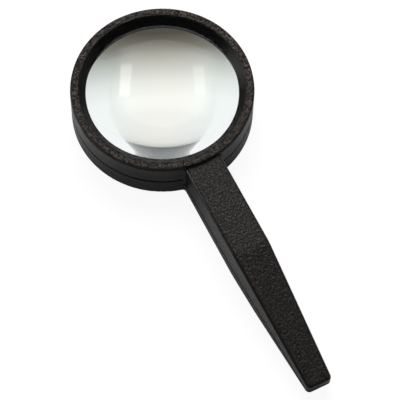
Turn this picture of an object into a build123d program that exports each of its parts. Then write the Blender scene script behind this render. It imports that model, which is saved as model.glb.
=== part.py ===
from build123d import *
import math
import os

# Hand-held magnifying glass: a thick double-convex lens in a two-shell frame with a hollow handle.
# Frame of reference, in millimetres: Z is the optical axis and points to the front, z = 0 is the rear
# rim, and the handle runs along -Y. Each piece is written to parts/ as its own STEP file.

# ---- driving dimensions -------------------------------------------------------------------------------
FRAME_RADIUS = 36.0           # outside of the round frame
FRAME_TOP = 19.0              # front face of the upper shell, under the front ring
FRAME_PARTING = 9.6           # height of the joint between the shells, on the frame
REAR_EDGE_ROUND = 1.2         # rounding of the frame's rear edge

RING_RADIUS = 35.85           # outside of the front ring, a little inside the frame
RING_TOP = 20.0
RING_MOUTH_RADIUS = 32.7      # opening of the front ring, and of the rear rim
RING_THROAT_RADIUS = 30.0     # where the ring's sloping wall meets the glass: a clear view of 60 mm
RING_THROAT_HEIGHT = 16.43
RING_EDGE_ROUND = 0.35
TOP_SEAM = 0.3                # bevels on the front ring and the upper shell, which make a fine V groove

LENS_RADIUS = 31.5
LENS_EDGE = 4.2               # thickness of the glass at its rim
LENS_FRONT_CURVE = 130.0      # radius of curvature, front surface
LENS_REAR_CURVE = 62.6        # radius of curvature, rear surface
LENS_RIM_TOP = 16.0           # height of the front surface at the rim
LENS_BEVEL = 0.2              # ground bevel on both rims

SOCKET_RADIUS = 34.0          # bore that takes the front ring's skirt and the lower shell's spigot
SOCKET_PLAY = 0.15
LENS_PLAY = 0.2
STEP_PLAY = 0.05              # gap at the step between the two joint heights
GLASS_GAP = 0.03              # paper-thin gap between the glass and what clamps it

HANDLE_START = 30.0           # distance from the axis to the buried end of the handle
HANDLE_TOP = 18.6             # upper face of the handle next to the frame
HANDLE_HALF_WIDTH = 7.55
HANDLE_CREASE = 76.0          # distance from the axis to where the upper face turns down
HANDLE_END = 132.4            # distance from the axis to the end of the handle
HANDLE_END_HALF_WIDTH = 5.1
HANDLE_END_TOP = 9.2
HANDLE_END_BOTTOM = 4.0
HANDLE_HEEL = 93.0            # distance from the axis to where the underside starts to rise
HANDLE_PARTING = 5.7          # height of the joint between the shells, on the handle
HANDLE_END_ROUND = 1.8        # plan rounding of the end's corners
CREASE_ROUND = 20.0           # soft bend of the upper face at the crease
FLANK_ROUND = 60.0            # soft bend of the flanks at the crease
HEEL_ROUND = 40.0             # soft bend of the underside at the heel
ROOT_ROUND = 1.3              # plan rounding where the handle leaves the frame
TOP_EDGE_ROUND = 1.25
BOTTOM_EDGE_ROUND = 0.9

WALL = 2.2                    # wall of the hollow handle
GROOVE_DEPTH = 0.8            # shadow groove along the joint between the shells
GROOVE_HEIGHT = 1.0

SCREW_PLACES = (47.0, 103.0)  # distances from the axis to the two screws
SCREW_SHANK_RADIUS = 1.2
SCREW_HEAD_RADIUS = 2.3
SCREW_HEAD_HEIGHT = 1.5
SCREW_LENGTH = 7.5            # under the head
SCREW_SEAT = 3.6              # height of the face that the head bears on
SCREW_HEAD_ROUND = 0.5
CROSS_LENGTH = 2.6            # drive recess
CROSS_WIDTH = 0.6
CROSS_DEPTH = 0.8
UPPER_BOSS_RADIUS = 3.0
LOWER_BOSS_RADIUS = 3.8
HEAD_HOLE_RADIUS = 2.7
SHANK_HOLE_RADIUS = 1.45
PILOT_RADIUS = 1.25
PILOT_SPARE = 0.5             # depth of the pilot hole past the screw's end

# ---- derived dimensions -------------------------------------------------------------------------------
LENS_RIM_BOTTOM = LENS_RIM_TOP - LENS_EDGE
FRONT_SAG = LENS_FRONT_CURVE - math.sqrt(LENS_FRONT_CURVE**2 - LENS_RADIUS**2)
REAR_SAG = LENS_REAR_CURVE - math.sqrt(LENS_REAR_CURVE**2 - LENS_RADIUS**2)
GASKET_BOTTOM = LENS_RIM_BOTTOM - 1.3
GASKET_RADIUS = 32.9
SHELF_TOP = RING_THROAT_HEIGHT - 0.1
SHELF_BOTTOM = LENS_RIM_BOTTOM + 0.1


def lens_front_height(radius):
    """Height of the front glass surface at a distance from the axis."""
    sag = LENS_FRONT_CURVE - math.sqrt(LENS_FRONT_CURVE**2 - radius**2)
    return LENS_RIM_TOP + FRONT_SAG - sag


def lens_rear_height(radius):
    """Height of the rear glass surface at a distance from the axis."""
    sag = LENS_REAR_CURVE - math.sqrt(LENS_REAR_CURVE**2 - radius**2)
    return LENS_RIM_BOTTOM - REAR_SAG + sag


def turned(outline):
    """Solid of revolution about Z from a closed (radius, height) outline."""
    points = [(radius, 0, height) for radius, height in outline]
    edge = Polyline(*points, close=True)
    return revolve(make_face(edge), Axis.Z)


def circles_near(solid, radius, height):
    """Circular edges about Z of the given radius and height."""
    edges = solid.edges().filter_by(GeomType.CIRCLE)
    return [e for e in edges if abs(e.radius - radius) < 1e-3 and abs(e.center().Z - height) < 1e-3]


# ---- the glass and what holds it ----------------------------------------------------------------------
def make_lens():
    """Double-convex lens with a ground rim and a small bevel on each edge."""
    inner = LENS_RADIUS - LENS_BEVEL
    front = ThreePointArc(
        (0, 0, lens_front_height(0)),
        (inner / 2, 0, lens_front_height(inner / 2)),
        (inner, 0, lens_front_height(inner)),
    )
    rear = ThreePointArc(
        (inner, 0, lens_rear_height(inner)),
        (inner / 2, 0, lens_rear_height(inner / 2)),
        (0, 0, lens_rear_height(0)),
    )
    rim = Polyline(
        front @ 1,
        (LENS_RADIUS, 0, LENS_RIM_TOP - LENS_BEVEL),
        (LENS_RADIUS, 0, LENS_RIM_BOTTOM + LENS_BEVEL),
        rear @ 0,
    )
    axis_line = Line(rear @ 1, front @ 0)
    return revolve(make_face([*front.edges(), *rim.edges(), *rear.edges(), *axis_line.edges()]), Axis.Z)


def make_front_ring():
    """Retaining ring: flat face, sloping inner wall down to the glass, and a skirt in the frame's bore."""
    skirt_radius = SOCKET_RADIUS - SOCKET_PLAY
    ring = turned([
        (RING_THROAT_RADIUS, RING_THROAT_HEIGHT),
        (skirt_radius, RING_THROAT_HEIGHT),
        (skirt_radius, FRAME_TOP),
        (RING_RADIUS - TOP_SEAM, FRAME_TOP),
        (RING_RADIUS, FRAME_TOP + TOP_SEAM),
        (RING_RADIUS, RING_TOP),
        (RING_MOUTH_RADIUS, RING_TOP),
    ])
    ring = fillet(circles_near(ring, RING_RADIUS, RING_TOP), RING_EDGE_ROUND)
    return fillet(circles_near(ring, RING_MOUTH_RADIUS, RING_TOP), RING_EDGE_ROUND / 2)


def make_gasket():
    """Soft ring under the rim of the glass; its upper face follows the rear surface of the lens."""
    inner = RING_THROAT_RADIUS + 0.15
    return turned([
        (inner, GASKET_BOTTOM),
        (GASKET_RADIUS, GASKET_BOTTOM),
        (GASKET_RADIUS, LENS_RIM_BOTTOM - GLASS_GAP),
        (LENS_RADIUS, LENS_RIM_BOTTOM - GLASS_GAP),
        (inner, lens_rear_height(inner) - GLASS_GAP),
    ])


# ---- outer skin of the two shells ---------------------------------------------------------------------
def corners_at(face, distance):
    """Corners of a flat outline that lie at a distance along the handle."""
    return [v for v in face.vertices() if abs(v.Y + distance) < 0.1]


def sharp_handle_plan(start, inset=0.0):
    """Plan of the handle with sharp corners, from start to its end, moved inwards by inset."""
    half_width = HANDLE_HALF_WIDTH - inset
    end_half_width = HANDLE_END_HALF_WIDTH - inset
    end = HANDLE_END - inset
    return make_face(Polyline(
        (-half_width, -start),
        (-half_width, -HANDLE_CREASE),
        (-end_half_width, -end),
        (end_half_width, -end),
        (half_width, -HANDLE_CREASE),
        (half_width, -start),
        close=True,
    ))


def sharp_handle_side(start, inset=0.0):
    """Side view of the handle in the YZ plane with sharp corners, moved inwards by inset."""
    end = HANDLE_END - inset
    return make_face(Polyline(
        (0, -start, inset),
        (0, -HANDLE_HEEL, inset),
        (0, -end, HANDLE_END_BOTTOM + inset),
        (0, -end, HANDLE_END_TOP - inset),
        (0, -HANDLE_CREASE, HANDLE_TOP - inset),
        (0, -start, HANDLE_TOP - inset),
        close=True,
    ))


def handle_plan():
    """Plan of the handle, from inside the frame to its rounded end."""
    plan = sharp_handle_plan(HANDLE_START)
    plan = fillet(corners_at(plan, HANDLE_END), HANDLE_END_ROUND)
    return fillet(corners_at(plan, HANDLE_CREASE), FLANK_ROUND)


def handle_side():
    """Side view of the handle in the YZ plane, with a soft crease above and a soft heel below."""
    side = sharp_handle_side(HANDLE_START)
    side = fillet(corners_at(side, HANDLE_CREASE), CREASE_ROUND)
    return fillet(corners_at(side, HANDLE_HEEL), HEEL_ROUND)


def handle_block():
    """Solid handle with rounded edges along its upper face and its underside."""
    tall = extrude(handle_plan(), HANDLE_TOP)
    wide = extrude(handle_side(), 2 * HANDLE_HALF_WIDTH, both=True)
    block = tall & wide
    rims = [e for e in block.edges() if not is_across(e) and not is_upright(e)]
    upper = [e for e in rims if e.center().Z > HANDLE_PARTING]
    block = fillet(upper, TOP_EDGE_ROUND)
    rims = [e for e in block.edges() if not is_across(e) and not is_upright(e)]
    lower = [e for e in rims if e.center().Z < HANDLE_END_BOTTOM + 0.2]
    return fillet(lower, BOTTOM_EDGE_ROUND)


def is_across(edge):
    """True for an edge that runs along X over the handle, apart from those at its very end."""
    return abs(edge.tangent_at(0.5).X) > 0.99 and edge.center().Y > -HANDLE_END + 1


def is_upright(edge):
    """True for an edge that runs along Z."""
    return abs(edge.tangent_at(0.5).Z) > 0.9


def body_plan():
    """Plan of the frame and the handle together, with rounded roots."""
    plan = Circle(FRAME_RADIUS) + handle_plan()
    root_y = -math.sqrt(FRAME_RADIUS**2 - HANDLE_HALF_WIDTH**2)
    roots = [v for v in plan.vertices() if abs(v.Y - root_y) < 0.1]
    return fillet(roots, ROOT_ROUND)


def handle_with_roots():
    """Solid handle, cut off inside the frame's wall, with the roundings at its roots."""
    root_plan = body_plan() - Circle(FRAME_RADIUS) - handle_plan()
    roots = Pos(0, 0, BOTTOM_EDGE_ROUND) * extrude(root_plan, HANDLE_TOP - TOP_EDGE_ROUND - BOTTOM_EDGE_ROUND)
    handle = handle_block() + roots
    middle_of_wall = (FRAME_RADIUS + SOCKET_RADIUS) / 2
    return handle - tube_core(middle_of_wall, -1, RING_TOP + 1)


def tube_core(radius, bottom, top):
    """Solid cylinder about Z between two heights."""
    return Pos(0, 0, bottom) * extrude(Circle(radius), top - bottom)


def slab(bottom, top):
    """Wide flat block between two heights, which covers the whole object."""
    size = 4 * HANDLE_END
    return Pos(0, 0, (bottom + top) / 2) * Box(size, size, top - bottom)


def handle_hollow():
    """Space inside the handle, a wall's thickness in from the outer skin."""
    start = FRAME_RADIUS + WALL
    tall = extrude(sharp_handle_plan(start, WALL), HANDLE_TOP)
    wide = extrude(sharp_handle_side(start, WALL), HANDLE_HALF_WIDTH, both=True)
    return tall & wide


def handle_groove():
    """Shadow groove that runs round the handle at the joint between the shells."""
    plan = body_plan()
    rim = plan - offset(plan, -GROOVE_DEPTH) - Circle(FRAME_RADIUS - GROOVE_DEPTH)
    return Pos(0, 0, HANDLE_PARTING - GROOVE_HEIGHT / 2) * extrude(rim, GROOVE_HEIGHT)


def column(distance, radius, bottom, top):
    """Upright cylinder on the handle's centre line."""
    return Pos(0, -distance, bottom) * extrude(Circle(radius), top - bottom)


# ---- the two shells -----------------------------------------------------------------------------------
def make_upper_shell():
    """Front half of the frame with the sockets for the ring, the glass and the lower shell, and the handle."""
    frame = turned([
        (SOCKET_RADIUS, FRAME_PARTING),
        (FRAME_RADIUS - GROOVE_DEPTH, FRAME_PARTING),
        (FRAME_RADIUS - GROOVE_DEPTH, FRAME_PARTING + GROOVE_HEIGHT / 2),
        (FRAME_RADIUS, FRAME_PARTING + GROOVE_HEIGHT / 2),
        (FRAME_RADIUS, FRAME_TOP - TOP_SEAM),
        (FRAME_RADIUS - TOP_SEAM, FRAME_TOP),
        (SOCKET_RADIUS, FRAME_TOP),
        (SOCKET_RADIUS, SHELF_TOP),
        (LENS_RADIUS + LENS_PLAY, SHELF_TOP),
        (LENS_RADIUS + LENS_PLAY, SHELF_BOTTOM),
        (SOCKET_RADIUS, SHELF_BOTTOM),
    ])
    solid_handle = handle_with_roots() & slab(HANDLE_PARTING, RING_TOP)
    handle = solid_handle - tube_core(FRAME_RADIUS + STEP_PLAY, 0, FRAME_PARTING)
    handle -= handle_hollow()
    handle -= handle_groove()
    for distance in SCREW_PLACES:
        handle += solid_handle & column(distance, UPPER_BOSS_RADIUS, HANDLE_PARTING, HANDLE_TOP)
        screw_tip = SCREW_SEAT + SCREW_LENGTH + PILOT_SPARE
        handle -= column(distance, PILOT_RADIUS, HANDLE_PARTING, screw_tip)
    return frame + handle


def make_lower_shell():
    """Rear half of the frame with the seat of the gasket, and the lower half of the handle."""
    spigot_radius = SOCKET_RADIUS - SOCKET_PLAY
    gasket_wall = GASKET_RADIUS + GLASS_GAP
    frame = turned([
        (RING_MOUTH_RADIUS, 0),
        (FRAME_RADIUS, 0),
        (FRAME_RADIUS, FRAME_PARTING - GROOVE_HEIGHT / 2),
        (FRAME_RADIUS - GROOVE_DEPTH, FRAME_PARTING - GROOVE_HEIGHT / 2),
        (FRAME_RADIUS - GROOVE_DEPTH, FRAME_PARTING),
        (spigot_radius, FRAME_PARTING),
        (spigot_radius, SHELF_BOTTOM - SOCKET_PLAY),
        (gasket_wall, SHELF_BOTTOM - SOCKET_PLAY),
        (gasket_wall, GASKET_BOTTOM),
        (RING_THROAT_RADIUS, GASKET_BOTTOM),
    ])
    frame = fillet(circles_near(frame, FRAME_RADIUS, 0), REAR_EDGE_ROUND)
    frame = fillet(circles_near(frame, RING_MOUTH_RADIUS, 0), RING_EDGE_ROUND)
    solid_handle = handle_with_roots() & slab(-1, HANDLE_PARTING)
    handle = solid_handle - handle_hollow()
    handle -= handle_groove()
    for distance in SCREW_PLACES:
        handle += solid_handle & column(distance, LOWER_BOSS_RADIUS, 0, HANDLE_PARTING)
        handle -= column(distance, HEAD_HOLE_RADIUS, -1, SCREW_SEAT)
        handle -= column(distance, SHANK_HOLE_RADIUS, SCREW_SEAT, HANDLE_PARTING)
    return frame + handle


# ---- fasteners ----------------------------------------------------------------------------------------
def make_screw(distance):
    """Self-tapping pan-head screw, driven from the back, with a cross recess and a pointed end."""
    shank_top = SCREW_SEAT + SCREW_LENGTH
    screw = turned([
        (0, SCREW_SEAT - SCREW_HEAD_HEIGHT),
        (SCREW_HEAD_RADIUS, SCREW_SEAT - SCREW_HEAD_HEIGHT),
        (SCREW_HEAD_RADIUS, SCREW_SEAT),
        (SCREW_SHANK_RADIUS, SCREW_SEAT),
        (SCREW_SHANK_RADIUS, shank_top - SCREW_SHANK_RADIUS),
        (0, shank_top),
    ])
    screw = fillet(circles_near(screw, SCREW_HEAD_RADIUS, SCREW_SEAT - SCREW_HEAD_HEIGHT), SCREW_HEAD_ROUND)
    for turn in (0, 90):
        slot = Box(CROSS_LENGTH, CROSS_WIDTH, 2 * CROSS_DEPTH)
        screw -= Pos(0, 0, SCREW_SEAT - SCREW_HEAD_HEIGHT) * Rot(0, 0, turn) * slot
    return Pos(0, -distance, 0) * screw


def write_pieces():
    """Write each piece to its own file."""
    pieces = {
        "front_ring": make_front_ring(),
        "upper_shell": make_upper_shell(),
        "lower_shell": make_lower_shell(),
        "lens": make_lens(),
        "lens_gasket": make_gasket(),
        "handle_screws": Compound(children=[make_screw(distance) for distance in SCREW_PLACES]),
    }
    os.makedirs("parts", exist_ok=True)
    for name, piece in pieces.items():
        export_step(piece, f"parts/{name}.step")
        print(name, len(piece.solids()), round(piece.volume, 1))


write_pieces()
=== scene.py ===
import bpy
import bmesh
import math
from mathutils import Matrix, Vector


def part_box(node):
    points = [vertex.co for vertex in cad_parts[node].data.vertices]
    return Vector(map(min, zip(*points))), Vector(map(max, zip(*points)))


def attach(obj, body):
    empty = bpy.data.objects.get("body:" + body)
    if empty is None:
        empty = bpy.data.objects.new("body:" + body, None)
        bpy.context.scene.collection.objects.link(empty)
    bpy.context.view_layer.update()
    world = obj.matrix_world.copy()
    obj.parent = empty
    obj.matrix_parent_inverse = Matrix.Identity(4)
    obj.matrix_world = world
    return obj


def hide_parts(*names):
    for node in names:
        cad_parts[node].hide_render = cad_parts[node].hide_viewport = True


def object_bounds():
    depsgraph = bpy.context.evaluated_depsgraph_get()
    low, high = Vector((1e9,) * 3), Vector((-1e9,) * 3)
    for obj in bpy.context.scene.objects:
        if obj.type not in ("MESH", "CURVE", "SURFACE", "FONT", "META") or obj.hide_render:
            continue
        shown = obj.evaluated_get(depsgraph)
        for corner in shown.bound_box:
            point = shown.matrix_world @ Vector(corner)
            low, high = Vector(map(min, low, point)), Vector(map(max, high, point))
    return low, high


# Looks of the hand magnifying glass: materials, the polished lens, the studio and the camera.

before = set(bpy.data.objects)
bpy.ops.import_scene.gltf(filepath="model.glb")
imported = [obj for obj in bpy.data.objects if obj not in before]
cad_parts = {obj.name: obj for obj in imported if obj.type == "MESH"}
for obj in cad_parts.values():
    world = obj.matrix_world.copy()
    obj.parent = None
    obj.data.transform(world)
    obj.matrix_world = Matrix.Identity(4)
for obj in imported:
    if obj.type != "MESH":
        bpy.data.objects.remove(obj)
cad_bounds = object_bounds()

MM = 0.001

BLACK = (0.0, 0.0, 0.0, 1.0)

# ---- camera -------------------------------------------------------------------------------------------
CAMERA_AZIMUTH = -28.47       # degrees from -Y, negative towards -X
CAMERA_ELEVATION = 64.34
CAMERA_DISTANCE = 774.7 * MM
CAMERA_ROLL = 2.04
CAMERA_LENS = 181.25          # mm, on a 36 mm sensor
CAMERA_TARGET = (-6.37 * MM, -45.8 * MM, 10.0 * MM)

# ---- lens ---------------------------------------------------------------------------------------------
LENS_FRONT_CURVE = 130.0 * MM
LENS_REAR_CURVE = 62.6 * MM
LENS_BEVEL = 0.2 * MM
LENS_SEGMENTS = 256
LENS_STEPS = 48
GLASS_INDEX = 1.523

# ---- studio -------------------------------------------------------------------------------------------
STAGE_RADIUS = 3.0
STAGE_SEGMENTS = 96
STAGE_ROUGHNESS = 0.9
RIM_FADE = 3 * MM             # width over which the floor changes under the frame's rim

# The lighting floor lights and reflects, but isn't seen.
FLOOR_GAP = 0.2 * MM          # below the object's lowest point
FLOOR_DARK = (0.46, 0.46, 0.46, 1.0)
FLOOR_PALE = (0.50, 0.50, 0.50, 1.0)
FLOOR_FIBRES = 400            # noise scale, per metre
FLOOR_GLOW = (0.07, 0.07, 0.07, 1.0)
UNDER_LENS_GLOW = (0.65, 0.82, 0.92, 1.0)   # tuned, in place of light gathered by the lens

# The seen floor is seen, directly and through the glass, but doesn't light anything.
SEEN_GAP = 0.05 * MM          # below the object's lowest point
SEEN_TONE = (0.14, 0.14, 0.14, 1.0)         # a trace of real shadow
SEEN_GLOW = (0.92, 0.92, 0.92, 1.0)

# Under the lens the seen floor is not plain: its shade was fitted to the photograph.
SHADE_AZIMUTH = -6            # direction in which it darkens
SHADE_REACH = 34 * MM         # the ramp runs from this far in front of the axis to this far behind it
SHADE_STOPS = (
    (0.30, (0.94, 0.96, 0.94)),
    (0.55, (0.91, 0.92, 0.88)),
    (0.65, (0.75, 0.77, 0.72)),
    (0.76, (0.45, 0.46, 0.41)),
    (0.84, (0.22, 0.215, 0.18)),
    (0.93, (0.085, 0.078, 0.060)),
)
MIDDLE_TINT = (1.02, 1.0, 0.985, 1.0)
SIDE_TINT = (1.02, 1.06, 1.10, 1.0)
TINT_START = 4 * MM           # distance from the middle line where the side tint begins
TINT_END = 22 * MM

WALL_RADIUS = 0.99 * STAGE_RADIUS
WALL_GLOW = (0.98, 1.0, 1.01, 1.0)
CARD_COLOUR = (1.0, 0.97, 0.93, 1.0)
CARD_PLATEAU = 0.6            # part of the reflected card's half width that is fully bright
WORLD_ZENITH = 0.10
WORLD_NEAR = 0.04
WORLD_FAR = 0.5


# ---- node helpers -------------------------------------------------------------------------------------
def new_material(name):
    """Material with its node tree and its Principled shader."""
    material = bpy.data.materials.new(name)
    material.use_nodes = True
    return material, material.node_tree, material.node_tree.nodes["Principled BSDF"]


def node(tree, kind, inputs=None, **settings):
    """Add a shader node; an input that is another node's socket is linked, anything else is set."""
    made = tree.nodes.new("ShaderNode" + kind)
    for name, value in settings.items():
        setattr(made, name, value)
    for name, value in (inputs or {}).items():
        feed(tree, made.inputs[name], value)
    return made


def feed(tree, socket, value):
    """Link or set one input socket."""
    if isinstance(value, bpy.types.NodeSocket):
        tree.links.new(value, socket)
    else:
        socket.default_value = value


def remap(tree, value, low, high, start=0.0, end=1.0):
    """Smooth step of a value between low and high, onto start to end."""
    ranges = {"Value": value, "From Min": low, "From Max": high, "To Min": start, "To Max": end}
    return node(tree, "MapRange", ranges, interpolation_type="SMOOTHSTEP").outputs["Result"]


def between(tree, factor, start, end):
    """Straight mix of two values."""
    return node(tree, "MapRange", {"Value": factor, "To Min": start, "To Max": end}).outputs["Result"]


def maths(tree, operation, first, second):
    return node(tree, "Math", {0: first, 1: second}, operation=operation).outputs[0]


def multiply(tree, first, second):
    return maths(tree, "MULTIPLY", first, second)


def size_of(tree, value):
    """Value without its sign."""
    return node(tree, "Math", {0: value}, operation="ABSOLUTE").outputs[0]


def blend(tree, factor, first, second):
    """Mix of two colours."""
    return node(tree, "MixRGB", {"Fac": factor, "Color1": first, "Color2": second}).outputs["Color"]


def place(tree):
    return node(tree, "TexCoord").outputs["Object"]


def stretch(tree, vector, scale):
    """Coordinates multiplied by a scale for each axis."""
    return node(tree, "VectorMath", {0: vector, 1: scale}, operation="MULTIPLY").outputs["Vector"]


def length(tree, vector):
    return node(tree, "VectorMath", {0: vector}, operation="LENGTH").outputs["Value"]


def along(tree, vector, axis):
    return node(tree, "VectorMath", {0: vector, 1: axis}, operation="DOT_PRODUCT").outputs["Value"]


def height_of(tree, vector):
    return along(tree, vector, (0, 0, 1))


def noise(tree, vector, scale, detail=2.0, roughness=0.5):
    settings = {"Vector": vector, "Scale": scale, "Detail": detail, "Roughness": roughness}
    return node(tree, "TexNoise", settings).outputs["Fac"]


def edges(tree, radius):
    """1 on outer and inner edges of a part, 0 on its open faces."""
    rounded = node(tree, "Bevel", {"Radius": radius}, samples=4).outputs["Normal"]
    flat = node(tree, "NewGeometry").outputs["Normal"]
    agreement = along(tree, rounded, flat)
    return remap(tree, agreement, 0.995, 0.90)


def set_slots(name, material):
    """Give a CAD node one material."""
    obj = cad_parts[name]
    obj.data.materials.clear()
    obj.data.materials.append(material)


# ---- plastics -----------------------------------------------------------------------------------------
PLASTIC_DARK = (0.0030, 0.0024, 0.0022, 1.0)
PLASTIC_LIGHT = (0.0075, 0.0060, 0.0054, 1.0)
# pale specks on the faces that look up are painted glints of the grain
PLASTIC_PAINTED_GLINT = (0.1350, 0.1130, 0.1020, 1.0)
PLASTIC_EDGE = (0.0300, 0.0270, 0.0260, 1.0)
RING_GLOSS = 0.3
PLASTIC_GLOSS = 0.5          # specular level
GRAIN_SIZE = 0.58 * MM
GRAIN_DEPTH = 0.2 * MM
BORE_RADIUS = 33.0 * MM       # the lower shell's bore, up to here, came from a polished core
BORE_ROUGHNESS = 0.06
CONE_RADIUS = 32.2 * MM       # the front ring's sloping wall, up to here, is matt against stray light, and its darker colour is painted shade
CONE_ROUGHNESS = 0.3
CONE_PAINTED_SHADE = (0.0016, 0.0008, 0.0006, 1.0)
EDGE_ROUGHNESS = 0.12
STREAK_HEIGHT = 0.35 * MM
STREAK_LENGTH = 18 * MM
STREAK_DEPTH = 0.02 * MM
PEBBLE_SHARE = 0.65           # height of the pebbles beside the fine texture
WORN_WIDTH = 0.35 * MM
WORN_STRENGTH = 0.15
BORE_FADE = 0.3 * MM
BORE_MATT_ROUGHNESS = 0.5     # at the rear end of the bore
BORE_MATT_DEPTH = 7 * MM
TONE_SCALE = 160              # noise scale of the slow change of tone, per metre
SHELL_PAINTED_GLINTS = 0.26             # strength of the pale specks, painted glints of the grain
RING_PAINTED_GLINTS = 0.85
RING_LINE_TONE = 1.9 / MM     # noise scales of the turned lines on the front ring
RING_LINE_HEIGHT = 1.6 / MM


def leather_grain(tree, vector):
    """Heights of a moulded leather grain: the rounded pebbles, and the fine spark texture over them."""
    bend = node(tree, "TexNoise", {"Vector": vector, "Scale": 0.5 / GRAIN_SIZE, "Detail": 1.0})
    shift = stretch(tree, bend.outputs["Color"], (0.6 * GRAIN_SIZE,) * 3)
    bent = node(tree, "VectorMath", {0: vector, 1: shift}, operation="ADD").outputs["Vector"]
    cells = node(tree, "TexVoronoi", {"Vector": bent, "Scale": 0.6 / GRAIN_SIZE}, feature="SMOOTH_F1")
    pebbles = remap(tree, cells.outputs["Distance"], 0.75, 0.15)
    fine = noise(tree, vector, 1 / GRAIN_SIZE, 2.0, 0.6)
    return multiply(tree, pebbles, PEBBLE_SHARE), fine


def plastic(name, gloss, glint_strength, ring_lines):
    """Black moulded plastic: leather grain with painted glints on the faces that look up, fine streaks round
    the walls, painted shade on the front ring's sloping wall.
    """
    material, tree, shader = new_material(name)
    vector = place(tree)
    radius = length(tree, stretch(tree, vector, (1, 1, 0)))
    inner_radius = CONE_RADIUS if ring_lines else BORE_RADIUS
    bore = remap(tree, radius, inner_radius + BORE_FADE, inner_radius)
    around = node(tree, "CombineXYZ", {"X": radius}).outputs["Vector"]
    normal = node(tree, "NewGeometry").outputs["Normal"]
    rise = along(tree, normal, (0, 0, 1))
    upward = remap(tree, rise, 0.93, 0.975)

    pebbles, fine = leather_grain(tree, vector)
    drawn_out = stretch(tree, vector, (1 / STREAK_LENGTH, 1 / STREAK_LENGTH, 1 / STREAK_HEIGHT))
    streaks = noise(tree, drawn_out, 1.0, 3.0)
    # pale specks of the fine texture: painted glints
    glint = remap(tree, fine, 0.45, 0.65)
    worn = edges(tree, WORN_WIDTH)
    if not ring_lines:
        rounding = multiply(tree, remap(tree, rise, 0.05, 0.25), remap(tree, rise, 0.975, 0.93))
        worn = maths(tree, "MAXIMUM", worn, rounding)

    tone = blend(tree, noise(tree, vector, TONE_SCALE, 3.0), PLASTIC_DARK, PLASTIC_LIGHT)
    if ring_lines:
        rings = remap(tree, noise(tree, around, RING_LINE_TONE, 1.0), 0.38, 0.58, 0.3, 1.0)
        glint = multiply(tree, glint, rings)
    # the painted glints lighten only the faces that look up
    glints = multiply(tree, multiply(tree, glint, upward), glint_strength)
    tone = blend(tree, glints, tone, PLASTIC_PAINTED_GLINT)
    tone = blend(tree, multiply(tree, worn, WORN_STRENGTH), tone, PLASTIC_EDGE)
    if ring_lines:
        # painted shade: the front ring's sloping wall is darker than the rest
        tone = blend(tree, bore, tone, CONE_PAINTED_SHADE)
    feed(tree, shader.inputs["Base Color"], tone)

    rough_top = remap(tree, fine, 0.40, 0.62, 0.66, 0.20)
    rough_wall = remap(tree, streaks, 0.3, 0.7, 0.24, 0.34)
    rough = between(tree, upward, rough_wall, rough_top)
    rough = between(tree, worn, rough, EDGE_ROUGHNESS)
    inner_rough = CONE_ROUGHNESS
    if not ring_lines:
        height = height_of(tree, vector)
        inner_rough = remap(tree, height, 0, BORE_MATT_DEPTH, BORE_MATT_ROUGHNESS, BORE_ROUGHNESS)
    feed(tree, shader.inputs["Roughness"], between(tree, bore, rough, inner_rough))

    relief = multiply(tree, upward, maths(tree, "ADD", pebbles, fine))
    if ring_lines:
        relief = maths(tree, "ADD", relief, noise(tree, around, RING_LINE_HEIGHT, 2.0))
    grain = node(tree, "Bump", {"Strength": 0.8, "Distance": GRAIN_DEPTH, "Height": relief})
    lines = node(tree, "Bump", {"Strength": 0.25, "Distance": STREAK_DEPTH, "Height": streaks,
                                "Normal": grain.outputs["Normal"]})
    feed(tree, shader.inputs["Normal"], lines.outputs["Normal"])
    shader.inputs["Specular IOR Level"].default_value = gloss
    return material


RUBBER_DARK = (0.010, 0.010, 0.010, 1.0)
RUBBER_BLOOM = (0.035, 0.034, 0.033, 1.0)
STEEL_DARK = (0.42, 0.42, 0.44, 1.0)
STEEL_LIGHT = (0.68, 0.68, 0.67, 1.0)


def rubber():
    """Matt black rubber with a fine bloom."""
    material, tree, shader = new_material("gasket_rubber")
    vector = place(tree)
    bloom = noise(tree, vector, 900, 4.0, 0.6)
    feed(tree, shader.inputs["Base Color"], blend(tree, bloom, RUBBER_DARK, RUBBER_BLOOM))
    feed(tree, shader.inputs["Roughness"], remap(tree, bloom, 0.3, 0.7, 0.65, 0.85))
    grain = node(tree, "Bump", {"Strength": 0.3, "Distance": 0.02 * MM, "Height": bloom})
    feed(tree, shader.inputs["Normal"], grain.outputs["Normal"])
    return material


def plated_steel():
    """Zinc-plated screw steel, a little clouded and scuffed."""
    material, tree, shader = new_material("screw_steel")
    vector = place(tree)
    cloud = noise(tree, vector, 700, 4.0, 0.6)
    scuffs = noise(tree, stretch(tree, vector, (6000, 700, 700)), 1.0, 2.0)
    feed(tree, shader.inputs["Base Color"], blend(tree, cloud, STEEL_DARK, STEEL_LIGHT))
    feed(tree, shader.inputs["Roughness"], remap(tree, scuffs, 0.3, 0.7, 0.22, 0.42))
    grain = node(tree, "Bump", {"Strength": 0.3, "Distance": 0.01 * MM, "Height": scuffs})
    feed(tree, shader.inputs["Normal"], grain.outputs["Normal"])
    shader.inputs["Metallic"].default_value = 1.0
    return material


# ---- the lens -----------------------------------------------------------------------------------------
GLASS_CLEAR = (0.985, 0.995, 0.985, 1.0)
GLASS_SMEARED = (0.975, 0.985, 0.980, 1.0)
RIM_DARK = (0.50, 0.56, 0.58, 1.0)
RIM_LIGHT = (0.66, 0.72, 0.74, 1.0)


def clear_glass():
    """Polished crown glass with the faintest smears of handling."""
    material, tree, shader = new_material("lens_glass")
    smears = noise(tree, stretch(tree, place(tree), (60, 110, 60)), 1.0, 3.0)
    feed(tree, shader.inputs["Roughness"], remap(tree, smears, 0.5, 0.8, 0.0, 0.03))
    feed(tree, shader.inputs["Base Color"], blend(tree, smears, GLASS_CLEAR, GLASS_SMEARED))
    shader.inputs["Transmission Weight"].default_value = 1.0
    shader.inputs["IOR"].default_value = GLASS_INDEX
    return material


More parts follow.
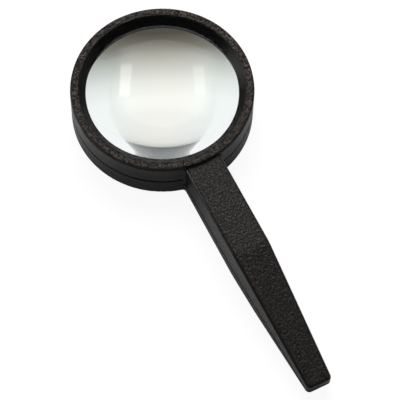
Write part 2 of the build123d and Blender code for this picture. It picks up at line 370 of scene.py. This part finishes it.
def ground_glass():
    """Fine-ground rim of the lens, greyish white."""
    material, tree, shader = new_material("lens_ground_rim")
    frost = noise(tree, place(tree), 1500, 3.0, 0.6)
    feed(tree, shader.inputs["Base Color"], blend(tree, frost, RIM_DARK, RIM_LIGHT))
    feed(tree, shader.inputs["Roughness"], remap(tree, frost, 0.3, 0.7, 0.6, 0.8))
    return material


def cap_outline(curve, rim_radius, edge_radius, edge_height, side):
    """Points of one polished surface from the axis to its rim; side is 1 for the front, -1 for the rear."""
    edge_sag = curve - math.sqrt(curve**2 - edge_radius**2)
    points = []
    for step in range(LENS_STEPS + 1):
        radius = rim_radius * step / LENS_STEPS
        sag = curve - math.sqrt(curve**2 - radius**2)
        points.append((radius, edge_height + side * (edge_sag - sag)))
    return points


def turned_mesh(name, outline, segments):
    """Closed mesh turned about Z from a (radius, height) outline that starts and ends on the axis."""
    shape = bmesh.new()
    rings = []
    for radius, height in outline:
        count = segments if radius > 0 else 1
        turns = [2 * math.pi * index / count for index in range(count)]
        rings.append([shape.verts.new((radius * math.cos(t), radius * math.sin(t), height)) for t in turns])
    for low, high in zip(rings, rings[1:]):
        for index in range(segments):
            corners = [low[index % len(low)], low[(index + 1) % len(low)]]
            corners += [high[(index + 1) % len(high)], high[index % len(high)]]
            shape.faces.new(list(dict.fromkeys(corners)))
    bmesh.ops.recalc_face_normals(shape, faces=shape.faces)
    for face in shape.faces:
        face.smooth = True
    mesh = bpy.data.meshes.new(name)
    shape.to_mesh(mesh)
    shape.free()
    mesh.set_sharp_from_angle(angle=math.radians(30))
    return mesh


def make_lens():
    """Polished double-convex lens with a ground rim, in place of the CAD lens."""
    low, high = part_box("lens")
    radius = high[0]
    rim_top = high[2] - (LENS_FRONT_CURVE - math.sqrt(LENS_FRONT_CURVE**2 - radius**2))
    rim_bottom = low[2] + (LENS_REAR_CURVE - math.sqrt(LENS_REAR_CURVE**2 - radius**2))
    polished = radius - LENS_BEVEL
    front = cap_outline(LENS_FRONT_CURVE, polished, radius, rim_top, 1)
    rear = cap_outline(LENS_REAR_CURVE, polished, radius, rim_bottom, -1)
    rim = [(radius, rim_top - LENS_BEVEL), (radius, rim_bottom + LENS_BEVEL)]
    mesh = turned_mesh("lens_polished", front + rim + rear[::-1], LENS_SEGMENTS)
    mesh.materials.append(clear_glass())
    mesh.materials.append(ground_glass())
    for polygon in mesh.polygons:
        if polygon.center.xy.length > polished:
            polygon.material_index = 1
    lens = bpy.data.objects.new("lens_polished", mesh)
    bpy.context.scene.collection.objects.link(lens)
    lens.visible_shadow = False
    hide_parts("lens")
    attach(lens, "root")


# ---- studio -------------------------------------------------------------------------------------------
def direction(azimuth, elevation):
    """Unit vector from the object; azimuth is counted to the right from straight behind the object."""
    turn = math.radians(CAMERA_AZIMUTH + 180 - azimuth)
    rise = math.radians(elevation)
    return Vector((math.sin(turn) * math.cos(rise), -math.cos(turn) * math.cos(rise), math.sin(rise)))


def make_camera():
    """Camera at the photograph's viewing angle, level apart from a small roll."""
    data = bpy.data.cameras.new("camera")
    data.lens = CAMERA_LENS
    data.sensor_width = 36.0
    data.clip_start = 0.01
    camera = bpy.data.objects.new("camera", data)
    bpy.context.scene.collection.objects.link(camera)
    target = Vector(CAMERA_TARGET)
    place_at = target + CAMERA_DISTANCE * direction(180, CAMERA_ELEVATION)
    turn = (target - place_at).to_track_quat("-Z", "Y").to_matrix()
    roll = Matrix.Rotation(math.radians(CAMERA_ROLL), 3, "Z")
    camera.matrix_world = Matrix.Translation(place_at) @ (turn @ roll).to_4x4()
    bpy.context.scene.camera = camera


def stage_piece(name, shape, material, height):
    """Turn a bmesh into a floor or wall that isn't part of the object."""
    mesh = bpy.data.meshes.new(name)
    shape.to_mesh(mesh)
    shape.free()
    mesh.materials.append(material)
    obj = bpy.data.objects.new(name, mesh)
    obj.location.z = height
    bpy.context.scene.collection.objects.link(obj)
    return obj


def disc(radius):
    shape = bmesh.new()
    bmesh.ops.create_circle(shape, cap_ends=True, radius=radius, segments=STAGE_SEGMENTS)
    return shape


def half_dome(radius):
    shape = bmesh.new()
    bmesh.ops.create_uvsphere(shape, u_segments=STAGE_SEGMENTS, v_segments=STAGE_SEGMENTS // 2, radius=radius)
    below = [vert for vert in shape.verts if vert.co.z < -radius / 1000]
    bmesh.ops.delete(shape, geom=below, context="VERTS")
    return shape


def outside_frame(tree, vector):
    """0 under the lens, 1 outside the front ring."""
    ring_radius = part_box("front_ring")[1][0]
    return remap(tree, length(tree, vector), ring_radius - RIM_FADE, ring_radius)


def only_for_the_eye(obj):
    """Let a stage piece be seen, directly or through glass, without lighting or shading anything."""
    obj.visible_diffuse = False
    obj.visible_glossy = False
    obj.visible_shadow = False


def make_floor(lowest):
    """Pale floor that lights the object and shows in its gloss; it has an added glow under the lens."""
    material, tree, shader = new_material("floor_paper")
    vector = place(tree)
    fibres = noise(tree, vector, FLOOR_FIBRES, 3.0)
    glow = blend(tree, outside_frame(tree, vector), UNDER_LENS_GLOW, FLOOR_GLOW)
    feed(tree, shader.inputs["Base Color"], blend(tree, fibres, FLOOR_DARK, FLOOR_PALE))
    feed(tree, shader.inputs["Emission Color"], glow)
    shader.inputs["Emission Strength"].default_value = 1.0
    shader.inputs["Roughness"].default_value = STAGE_ROUGHNESS
    floor = stage_piece("floor", disc(STAGE_RADIUS), material, lowest - FLOOR_GAP)
    floor.visible_camera = False
    floor.visible_transmission = False


def lens_shade(tree, vector):
    """Fitted colours of the seen floor under the lens, darker towards the back."""
    backwards = along(tree, vector, direction(SHADE_AZIMUTH, 0))
    sideways = size_of(tree, along(tree, vector, direction(90, 0)))
    reach = {"Value": backwards, "From Min": -SHADE_REACH, "From Max": SHADE_REACH}
    ramp = node(tree, "ValToRGB", {"Fac": node(tree, "MapRange", reach).outputs["Result"]})
    elements = ramp.color_ramp.elements
    while len(elements) < len(SHADE_STOPS):
        elements.new(0.5)
    for element, (position, colour) in zip(elements, SHADE_STOPS):
        element.position = position
        element.color = (*colour, 1)
    tint = blend(tree, remap(tree, sideways, TINT_START, TINT_END), MIDDLE_TINT, SIDE_TINT)
    return stretch(tree, ramp.outputs["Color"], tint)


def make_seen_floor(lowest):
    """The floor as it is seen: plain white round the object, with the fitted shade under the lens."""
    material, tree, shader = new_material("floor_seen")
    vector = place(tree)
    outside = outside_frame(tree, vector)
    feed(tree, shader.inputs["Emission Color"], blend(tree, outside, lens_shade(tree, vector), SEEN_GLOW))
    feed(tree, shader.inputs["Base Color"], blend(tree, outside, BLACK, SEEN_TONE))
    shader.inputs["Emission Strength"].default_value = 1.0
    shader.inputs["Roughness"].default_value = STAGE_ROUGHNESS
    shader.inputs["Specular IOR Level"].default_value = 0.0
    only_for_the_eye(stage_piece("floor_seen", disc(STAGE_RADIUS), material, lowest - SEEN_GAP))


def make_studio_walls(lowest):
    """Pale studio walls, seen past the object and through its glass."""
    material, _, shader = new_material("studio_walls")
    shader.inputs["Base Color"].default_value = BLACK
    shader.inputs["Specular IOR Level"].default_value = 0.0
    shader.inputs["Emission Color"].default_value = WALL_GLOW
    shader.inputs["Emission Strength"].default_value = 1.0
    only_for_the_eye(stage_piece("studio_walls", half_dome(WALL_RADIUS), material, lowest))


def rectangle(half_width, half_height):
    shape = bmesh.new()
    turns = ((-1, -1), (1, -1), (1, 1), (-1, 1))
    shape.faces.new([shape.verts.new((x * half_width, y * half_height, 0)) for x, y in turns])
    return shape


def feathered_card(name, azimuth, elevation, distance, size, radiance, roll=0):
    """Glowing card with soft edges; it shows in gloss, not to the eye."""
    material, tree, shader = new_material(name)
    across, up, _ = node(tree, "SeparateXYZ", {0: place(tree)}).outputs
    half_width = size[0] / 2
    half_height = size[1] / 2
    fade_across = remap(tree, size_of(tree, across), half_width, CARD_PLATEAU * half_width)
    fade_up = remap(tree, size_of(tree, up), half_height, CARD_PLATEAU * half_height)
    feed(tree, shader.inputs["Alpha"], multiply(tree, fade_across, fade_up))
    shader.inputs["Emission Strength"].default_value = radiance
    shader.inputs["Emission Color"].default_value = CARD_COLOUR
    shader.inputs["Base Color"].default_value = BLACK
    shader.inputs["Specular IOR Level"].default_value = 0.0
    card = stage_piece(name, rectangle(half_width, half_height), material, 0)
    card.location = distance * direction(azimuth, elevation)
    card.rotation_euler = card.location.to_track_quat("Z", "Y").to_euler()
    card.rotation_euler.rotate_axis("Z", math.radians(roll))
    card.visible_camera = False
    card.visible_transmission = False
    card.visible_shadow = False


def softbox(name, azimuth, elevation, distance, size, radiance):
    """Rectangular light aimed at the object, unseen by the camera and through the glass."""
    data = bpy.data.lights.new(name, "AREA")
    data.shape = "RECTANGLE"
    data.size, data.size_y = size
    data.energy = math.pi * size[0] * size[1] * radiance
    light = bpy.data.objects.new(name, data)
    light.location = distance * direction(azimuth, elevation)
    light.rotation_euler = (-light.location).to_track_quat("-Z", "Y").to_euler()
    light.visible_camera = False
    light.visible_transmission = False
    bpy.context.scene.collection.objects.link(light)
    return light


def make_world():
    """Studio surroundings: pale and low behind and beside the object, dim overhead and on the near side."""
    world = bpy.data.worlds.new("studio")
    world.use_nodes = True
    tree = world.node_tree
    vector = node(tree, "TexCoord").outputs["Generated"]
    low = remap(tree, along(tree, vector, (0, 0, 1)), 0.45, 0.10)
    around = remap(tree, along(tree, vector, direction(0, 0)), -0.3, 0.3, WORLD_NEAR, WORLD_FAR)
    background = tree.nodes["Background"]
    feed(tree, background.inputs["Color"], (1, 1, 1, 1))
    feed(tree, background.inputs["Strength"], between(tree, low, WORLD_ZENITH, around))
    bpy.context.scene.world = world


def make_lights():
    """Azimuth, elevation and roll in degrees, distance and size in metres, then radiance."""
    key = softbox("key_light", -6, 54, 1.1, (0.8, 0.9), 4.0)
    key.visible_glossy = False
    feathered_card("reflected_card", 0, 57, 1.2, (0.8, 0.75), 1.8)
    feathered_card("left_streak", -24.5, 55, 1.2, (0.10, 0.36), 4.5, -25)
    feathered_card("right_streak", 19.7, 55, 1.2, (0.10, 0.34), 3.5, 25)
    softbox("left_card", -82, 20, 1.0, (0.5, 0.3), 5.0)


lowest_point = cad_bounds[0][2]
shell_plastic = plastic("shell_plastic", gloss=PLASTIC_GLOSS, glint_strength=SHELL_PAINTED_GLINTS, ring_lines=False)
set_slots("upper_shell", shell_plastic)
set_slots("lower_shell", shell_plastic)
set_slots("front_ring", plastic("ring_plastic", gloss=RING_GLOSS, glint_strength=RING_PAINTED_GLINTS, ring_lines=True))
set_slots("lens_gasket", rubber())
set_slots("handle_screws", plated_steel())
make_lens()
make_camera()
make_floor(lowest_point)
make_seen_floor(lowest_point)
make_studio_walls(lowest_point)
make_world()
make_lights()
bpy.context.scene.view_settings.view_transform = "Standard"
